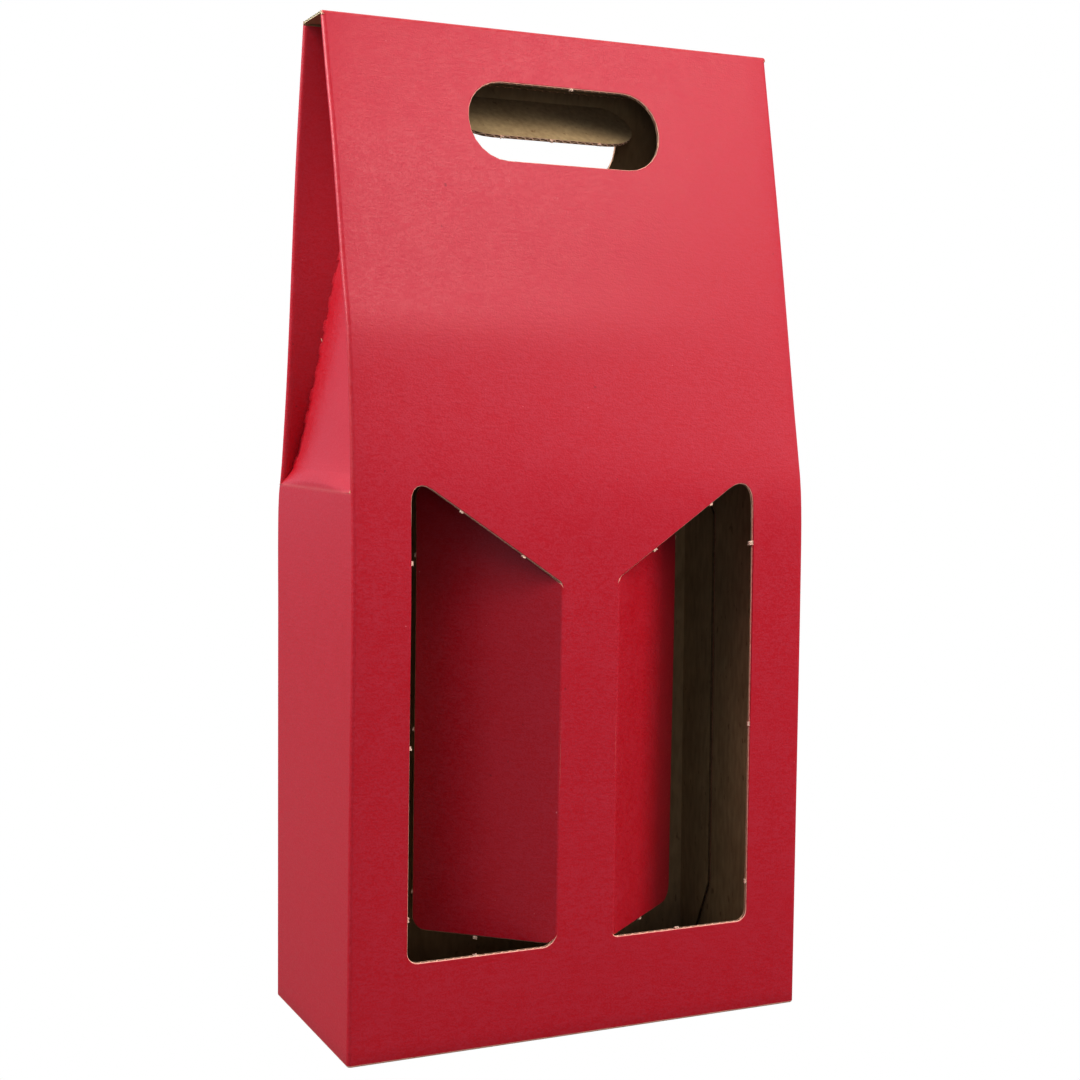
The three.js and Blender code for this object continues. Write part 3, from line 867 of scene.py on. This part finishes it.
def crease_tooth(side, facing, height):
    """How far the edge of the gusset's centre stands out over the wing, where the crease is cut"""
    tooth, share = divmod(height / TOOTH_PITCH, 1)
    if share > TOOTH_SHARE:
        return Vector((0, 0, 0))
    reach = mix(*TOOTH_REACH, abs(math.sin(tooth)))
    crease = crease_spot(side, facing, height)
    over = (wall_point(facing, side * HALF_WIDTH, height, FOLD) - crease).normalized()
    up = crease_spot(side, facing, height + PROBE) - crease
    off = over.cross(up).normalized()
    off *= math.copysign(1, -off.y * facing)
    return over * reach + off * TOOTH_LIFT


def wing_place(side, facing):
    """A wing turns on round the fold from the side of its wall and then runs flat to the valley crease"""
    def place(across, height, depth):
        crease = crease_spot(side, facing, height)
        edge = wall_point(facing, side * HALF_WIDTH, height, 0)
        lean = wall_lean(facing, side * HALF_WIDTH, height)
        inward = Vector((0, -facing * math.cos(lean), -math.sin(lean)))
        centre = edge + inward * FOLD
        centre.x = side * FLAT_HALF
        gap = crease - centre
        over, deep = side * gap.x, -facing * gap.y
        reach = max(math.hypot(over, deep), WING_LEAST_REACH)
        turn = math.atan2(over, -deep) - math.acos(FOLD / reach) + 2 * math.pi
        turn = min(max(turn, WING_LEAST_TURN), WING_MOST_TURN)
        arc_length = FOLD * (turn - math.pi / 2)
        flat_length = math.sqrt(max(reach * reach - FOLD * FOLD, 0)) + MITRE * depth
        along = across * (arc_length + flat_length)
        arc = min(along / FOLD, turn - math.pi / 2) + math.pi / 2
        past = max(along - arc_length, 0)
        sideways = (FOLD - depth) * math.sin(arc) + past * math.cos(arc)
        onward = -(FOLD - depth) * math.cos(arc) + past * math.sin(arc)
        spot = centre + inward * onward
        spot.x += side * sideways
        return spot
    return place


def gusset_wing(side, facing, name):
    piece = panel_board(f"{name}_board", (0, WING_START), (1, GUSSET_TOP))
    score(piece, (1, 0, 0), WING_COLUMNS)
    score(piece, (0, 1, 0), spaced(WING_START, GUSSET_TOP, ROW / 2))
    paint(piece)
    folded(piece, wing_place(side, facing))
    stands_for(piece, name)


def gusset_centre(side, name):
    """The triangle that leans in above the side, with the toothed edges of its cut creases"""
    def print_spot(across, height):
        ends = [crease_spot(side, facing, height) for facing in (FRONT, BACK)]
        spot = ends[0].lerp(ends[1], across)
        share = min(max((height - SHOULDER) / (GUSSET_TOP - SHOULDER), 0), 1)
        swell = CENTRE_SWELL * math.sin(math.pi * across) * math.sqrt(1 - share)
        spot.x += side * min(swell, HALF_WIDTH - abs(spot.x))
        return spot

    def place(across, height, depth):
        inner = min(max(across, 0), 1)
        spot = print_spot(inner, height)
        up = print_spot(inner, height + PROBE) - print_spot(inner, height - PROBE)
        ahead = print_spot(min(inner + SIDESTEP, 1), height)
        behind = print_spot(max(inner - SIDESTEP, 0), height)
        along = ahead - behind
        outward = along.cross(up).normalized()
        outward *= math.copysign(1, outward.x * side)
        spot -= outward * depth
        if min(inner, 1 - inner) < CREASE_EDGE:
            facing = FRONT if inner < 1 - inner else BACK
            spot.y += MITRE * depth * facing
            spot += crease_tooth(side, facing, height)
        return spot

    def paleness(across, height, depth):
        return SHOULDER_WEAR * max(0, 1 - (height - SHOULDER) / SHOULDER_LINE) if depth < TINY else 0

    piece = panel_board(f"{name}_board", (0, SHOULDER), (1, GUSSET_TOP))
    score(piece, (1, 0, 0), CENTRE_COLUMNS)
    half_teeth = math.ceil((GUSSET_TOP - SHOULDER) / TOOTH_PITCH * 2)
    first = math.ceil(SHOULDER / TOOTH_PITCH * 2)
    rows = [SHOULDER + SHOULDER_LINE] + spaced(SHOULDER, GUSSET_TOP, ROW)
    for k in range(first, first + half_teeth):
        rows += [k * TOOTH_PITCH / 2 - TOOTH_STEP, k * TOOTH_PITCH / 2 + TOOTH_STEP]
    score(piece, (0, 1, 0), sorted(row for row in rows if SHOULDER + TINY < row < GUSSET_TOP - TINY))
    paint(piece)
    folded(piece, place, paleness)
    if side == LEFT:
        height, tilt = TORN_CREASE
        spot = crease_spot(side, BACK, height)
        turned = Matrix.Translation(spot) @ Matrix.Rotation(tilt, 4, "Y")
        add_nicks(piece, [turned @ Matrix.Diagonal(TORN_CREASE_SIZE)])
    stands_for(piece, name)


def window_flap(side, name):
    axis = Vector((side * POST_HALF, BOARD - HALF_DEPTH, 0))
    turn_about = crease_place(axis, Vector((side, 0, 0)), Vector((0, -1, 0)), WINDOW_FLAP_TURN)

    def place(across, height, depth):
        spot = turn_about(side * across - POST_HALF, depth)
        spot.y += wall_inset(FRONT, side * POST_HALF, height)
        spot.z = height
        return spot

    edges = by_side(side, (-KERF, -FLAP_END_GAP[side], -KERF, LIP))
    corners = grown(window_corners(side), edges)
    far_low = 1 if side == RIGHT else 2
    corners[far_low] = (corners[far_low][0], corners[far_low][1] + FLAP_CORNER_RISE[side])
    roundings = window_roundings(side, FLAP_CORNER_ROUNDING[side], 0)
    piece = flap_board(f"{name}_board", corners, roundings)
    arc = BOARD * WINDOW_FLAP_TURN
    columns = [POST_HALF + arc * k / ARC_STEPS for k in range(ARC_STEPS + 1)]
    columns += spaced(POST_HALF + arc, WINDOW_OUTER[side], COLUMN)
    score(piece, (1, 0, 0), [side * x for x in columns])
    score(piece, (0, 1, 0), spaced(WINDOW_BOTTOM[side], WINDOW_TIP[side], ROW))
    paint(piece)
    add_nicks(piece, window_nicks(side, FLAP_END_GAP[side], KERF))
    folded(piece, place)
    start = turn_about(0, 0)
    end = turn_about(arc, 0)
    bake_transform(piece, "carton", name, start=start, end=end)
    stands_for(piece, name)


def handle_flap():
    lean = wall_lean(BACK, 0, SLOT_TOP)
    axis = wall_point(BACK, 0, SLOT_TOP, BOARD)
    down = Vector((0, math.sin(lean), -math.cos(lean)))
    outward = Vector((0, math.cos(lean), math.sin(lean)))
    turn_about = crease_place(axis, down, outward, HANDLE_FLAP_TURN)

    def place(across, height, depth):
        spot = turn_about(-height, depth)
        spot.x = SLOT_MIDDLE - across
        return spot

    corners = grown(slot_corners(0, 0, -SLOT_HEIGHT), [-KERF, -KERF, LIP, -KERF])
    rounding = SLOT_ROUNDNESS * (SLOT_HEIGHT - KERF) / 2
    piece = flap_board("handle_flap_board", corners, [rounding] * 4)
    arc = BOARD * HANDLE_FLAP_TURN
    rows = [-arc * k / ARC_STEPS for k in range(ARC_STEPS + 1)]
    score(piece, (0, 1, 0), rows + spaced(-SLOT_HEIGHT, -arc, ROW))
    score(piece, (1, 0, 0), spaced(-SLOT_HALF, SLOT_HALF, COLUMN))
    paint(piece, creased_from=-arc)
    add_nicks(piece, [on_blank(x, KERF - SLOT_HEIGHT, 0) for x in HANDLE_NICKS])
    folded(piece, place)
    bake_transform(piece, "carton", "handle_flap", start=turn_about(0, 0), end=turn_about(arc, 0))
    stands_for(piece, "handle_flap")


def ridge_arc(x):
    """Lean, centre and length of the fold between the front wall and the ridge strip"""
    lean = wall_lean(FRONT, x, RIDGE_START)
    edge = wall_point(FRONT, x, RIDGE_START, 0)
    centre = edge + Vector((0, math.cos(lean), -math.sin(lean))) * FOLD
    return lean, centre, FOLD * (math.pi / 2 - lean)


def ridge_place(x, along, depth):
    """A place on the ridge strip, whose board is crushed thinner than the walls"""
    lean, centre, length = ridge_arc(x)
    depth *= STRIP_SHARE
    if along < 0:
        return wall_point(FRONT, x, RIDGE_START + along, depth)
    turn = lean + min(along, length) / FOLD
    out = Vector((0, -math.cos(turn), math.sin(turn)))
    spot = centre + out * (FOLD - depth)
    spot.y += max(along - length, 0)
    return spot


def ridge_strip():
    _, centre, length = ridge_arc(0)
    crease = TUCK_CREASE - centre.y + length
    end = STRIP_END - centre.y + length
    corners = [
        (-HALF_WIDTH, -LIP), (HALF_WIDTH, -LIP), (HALF_WIDTH, end), (TUCK_HALF, end),
        (TUCK_HALF, crease + LIP), (-TUCK_HALF, crease + LIP), (-TUCK_HALF, end), (-HALF_WIDTH, end),
    ]
    piece = flap_board("ridge_strip_board", corners, [0] * len(corners))
    arcs = [length * k / ARC_STEPS for k in range(ARC_STEPS + 1)]
    score(piece, (0, 1, 0), arcs + spaced(length, crease, ROW))
    score(piece, (1, 0, 0), spaced(-HALF_WIDTH, HALF_WIDTH, COLUMN))
    paint(piece, edge=PALE_EDGE)
    pick(piece, "polygons", lambda face: abs(face.center.x) > HALF_WIDTH - TINY and face.center.y > length)
    bpy.ops.mesh.inset(thickness=LINER)
    bpy.ops.mesh.extrude_region_move(TRANSFORM_OT_translate={"value": (0, 0, 0)})
    narrower = (HALF_WIDTH - BOARD) / HALF_WIDTH
    bpy.ops.transform.resize(value=(narrower, 1, 1), center_override=(0, 0, 0))
    modelled()

    def paleness(across, along, depth):
        line = max(0, 1 - abs(along - length / 2) / (RIDGE_WEAR_REACH * length))
        return RIDGE_FOLD_WEAR * line if depth < TINY else 0

    folded(piece, ridge_place, paleness)
    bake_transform(piece, "carton", "lid", start=ridge_place(0, 0, 0), end=ridge_place(0, length, 0))
    stands_for(piece, "ridge_strip")


def tuck_flap():
    axis = Vector((0, TUCK_CREASE, ridge_place(0, HALF_RIDGE, 0).z - BOARD))
    turn_about = crease_place(axis, Vector((0, 1, 0)), Vector((0, 0, 1)), TUCK_TURN)

    def place(across, height, depth):
        spot = turn_about(-height, depth)
        spot.x = -across
        return spot

    arc = BOARD * TUCK_TURN
    far = -arc - TUCK_LENGTH
    corners = [(-TUCK_HALF, far), (TUCK_HALF, far), (TUCK_HALF, LIP), (-TUCK_HALF, LIP)]
    piece = flap_board("tuck_flap_board", corners, [TUCK_ROUNDING, TUCK_ROUNDING, 0, 0])
    rows = [-arc * k / ARC_STEPS for k in range(ARC_STEPS + 1)]
    score(piece, (0, 1, 0), rows + spaced(far, -arc, ROW))
    score(piece, (1, 0, 0), spaced(-TUCK_HALF, TUCK_HALF, COLUMN))
    paint(piece)
    folded(piece, place)
    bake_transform(piece, "lid", "tuck_flap", start=turn_about(0, 0), end=turn_about(arc, 0))
    stands_for(piece, "tuck_flap")


def seam_flap():
    edge = HALF_DEPTH - FOLD - SEAM_WIDTH
    narrow = HALF_DEPTH - FOLD - SEAM_END
    corner = HALF_DEPTH - BOARD
    bottom = BASE_STACK
    corners = [
        (corner, bottom), (corner, SHOULDER), (narrow, SHOULDER), (edge, SHOULDER - SEAM_UPPER_TAPER),
        (edge, bottom + SEAM_LOWER_TAPER), (narrow, bottom),
    ]
    roundings = [0, 0, SEAM_END_ROUNDING, SEAM_EDGE_ROUNDING, SEAM_EDGE_ROUNDING, SEAM_END_ROUNDING]
    piece = flap_board("seam_flap_board", corners, roundings)
    # The seam flap's cut edge is darkened as a painted shadow line
    paint(piece, edge=KRAFT_EDGE_AND_SHADOW)
    inside = HALF_WIDTH - BOARD - SEAM_GLUE
    folded(piece, lambda across, height, depth: Vector((inside - depth, across, height)))
    stands_for(piece, "seam_flap")


def wide_base_flap(facing, name):
    end = HALF_WIDTH - BOARD
    wall = HALF_DEPTH - BOARD
    far = LOCK_OVERREACH - KERF / 2
    near = -LOCK_OVERREACH - KERF / 2
    corners = [(-end, -wall), (end, -wall), (end, far), (LOCK_SLANT, far), (-LOCK_SLANT, near), (-end, near)]
    piece = flap_board(f"{name}_board", corners, [0] * len(corners))
    paint(piece)
    folded(piece, lambda across, along, depth: Vector((-facing * across, -facing * along, depth)))
    stands_for(piece, name)


def side_base_flap(side, name):
    wall = HALF_WIDTH - BOARD
    corner = HALF_DEPTH - FOLD
    far = wall - SIDE_FLAP_REACH
    corners = [
        (wall, -corner), (wall, corner), (far, corner - SIDE_FLAP_TAPER), (far, SIDE_FLAP_REACH - corner),
    ]
    piece = flap_board(f"{name}_board", corners, [0, 0, SIDE_FLAP_ROUNDING, 0])
    paint(piece)
    folded(piece, lambda across, along, depth: Vector((side * across, side * along, 2 * BOARD + depth)))
    stands_for(piece, name)


def glued_corner(side, name):
    wall = HALF_WIDTH - BOARD
    corner = HALF_DEPTH - FOLD
    inner = SIDE_FLAP_REACH - corner
    corners = [(wall, -corner), (wall, inner), (wall - SIDE_FLAP_REACH, inner)]
    piece = flap_board(f"{name}_board", corners, [0] * len(corners))
    paint(piece)
    folded(piece, lambda across, along, depth: Vector((side * across, side * along, 2 * BOARD - depth)))
    stands_for(piece, name)


# Camera, as the photograph was taken
CAMERA_SPOT = (-0.28311, -0.64897, 0.22670)
CAMERA_AIM = (0.43594, 0.89823, -0.05624)
CAMERA_ROLL = math.radians(0.624)
CAMERA_LENS = 61.396
CAMERA_SENSOR = 36
CAMERA_NEAR = 0.01
CAMERA_SHIFT = (-0.06801, -0.01707)


def add_camera():
    aim = Vector(CAMERA_AIM).to_track_quat("-Z", "Y") @ Quaternion((0, 0, 1), CAMERA_ROLL)
    bpy.ops.object.camera_add(location=CAMERA_SPOT, rotation=aim.to_euler())
    camera = bpy.context.object
    camera.data.lens = CAMERA_LENS
    camera.data.sensor_width = CAMERA_SENSOR
    camera.data.shift_x, camera.data.shift_y = CAMERA_SHIFT
    camera.data.clip_start = CAMERA_NEAR
    bpy.context.scene.camera = camera


# Studio: an even, faintly blue room and a grey floor, both white to the camera
ROOM = 0.62
WALL_BEHIND = 0.65
WALL_EDGE = (-0.1, 0.3)
DOME_TINT = (0.87, 0.98, 1.22, 1)
WHITE = (1, 1, 1, 1)
FLOOR_SIZE = 6
FLOOR_DROP = 0.0002
FLOOR_GREY = (112, 112, 112)
PALE_FLOOR_GREY = (120, 120, 120)
FLOOR_GRAIN = (6, 2)
FLOOR_SURFACE = (0.9, 0.0)
FLOOR_GLEAM = 0.2
VIEW_GAMMA = 0.8

# Softboxes: place, height they aim at, width and height, power, and whether the print mirrors them
SOFTBOXES = {
    "canopy": ((0.25, -0.57, 0.73), 0.20, (0.45, 0.40), 2.5, True),
    "key": ((0.86, -0.60, 0.57), 0.25, (0.5, 0.5), 6.6, False),
    "fill": ((-0.57, -0.48, 0.85), 0.15, (0.4, 0.4), 2.4, False),
    "front": ((-0.40, -1.10, 0.25), 0.15, (0.3, 0.2), 0.8, False),
    "left": ((-0.93, 0.25, 0.80), 0.22, (0.6, 0.6), 11.2, True),
}


def add_softbox(name, spot, aim_height, size, power, mirrored):
    aim = (Vector((0, 0, aim_height)) - Vector(spot)).to_track_quat("-Z", "Y")
    bpy.ops.object.light_add(type="AREA", location=spot, rotation=aim.to_euler())
    light = bpy.context.object
    light.name = name
    light.data.shape = "RECTANGLE"
    light.data.size, light.data.size_y = size
    light.data.energy = power
    light.visible_glossy = mirrored


def mix_shaders(tree, share, first, second, output):
    """Links two shaders, mixed by a share, to the surface of an output"""
    mixed = node(tree, "ShaderNodeMixShader")
    for socket, source in zip(mixed.inputs, (share, first, second)):
        tree.links.new(source, socket)
    tree.links.new(mixed.outputs[0], tree.nodes[output].inputs["Surface"])


def floor_finish():
    """Grey matt paper, white to the camera like the surround, that mirrors softly in the print"""
    material, tree, shader, spot = blank_finish("pale_floor", *FLOOR_SURFACE)
    shade = blended(tree, grain(tree, spot, *FLOOR_GRAIN), linear(FLOOR_GREY), linear(PALE_FLOOR_GREY))
    tree.links.new(shade, shader.inputs["Base Color"])
    glow = node(tree, "ShaderNodeEmission", {"Color": WHITE})
    path = node(tree, "ShaderNodeLightPath")
    mirrored = sums(tree, "MULTIPLY", path.outputs["Is Glossy Ray"], FLOOR_GLEAM)
    glowing = sums(tree, "MAXIMUM", path.outputs["Is Camera Ray"], mirrored)
    mix_shaders(tree, glowing, shader.outputs[0], glow.outputs[0], "Material Output")
    return material


def add_surround():
    """The room as light and reflection, and plain white where the camera looks past the carton"""
    world = bpy.data.worlds.new("studio")
    bpy.context.scene.world = world
    world.use_nodes = True
    tree = world.node_tree
    way = node(tree, "ShaderNodeTexCoord").outputs["Generated"]
    parts = node(tree, "ShaderNodeSeparateXYZ", Vector=way)
    around = ranged(tree, parts.outputs["Y"], *WALL_EDGE, ROOM, WALL_BEHIND)
    dome = node(tree, "ShaderNodeBackground", {"Color": DOME_TINT}, Strength=around)
    white = tree.nodes["Background"]
    white.inputs["Color"].default_value = WHITE
    seen = node(tree, "ShaderNodeLightPath").outputs["Is Camera Ray"]
    mix_shaders(tree, seen, dome.outputs[0], white.outputs[0], "World Output")


def add_stage():
    deselect()
    bpy.ops.mesh.primitive_plane_add(size=FLOOR_SIZE, location=(0, 0, -FLOOR_DROP))
    floor = started("floor")
    floor.data.materials.append(floor_finish())
    add_surround()
    for name, settings in SOFTBOXES.items():
        add_softbox(name, *settings)
    view = bpy.context.scene.view_settings
    view.view_transform = "Standard"
    view.gamma = VIEW_GAMMA


add_camera()
front_panel()
back_panel()
for side, side_name in ((LEFT, "left"), (RIGHT, "right")):
    side_panel(side, side_name)
    gusset_centre(side, f"{side_name}_gusset_centre")
    gusset_wing(side, FRONT, f"{side_name}_gusset_front_wing")
    gusset_wing(side, BACK, f"{side_name}_gusset_back_wing")
    window_flap(side, f"{side_name}_window_flap")
    side_base_flap(side, f"{side_name}_base_flap")
    glued_corner(side, f"{side_name}_glued_corner")
handle_flap()
ridge_strip()
tuck_flap()
seam_flap()
wide_base_flap(FRONT, "front_base_flap")
wide_base_flap(BACK, "back_base_flap")
add_stage()
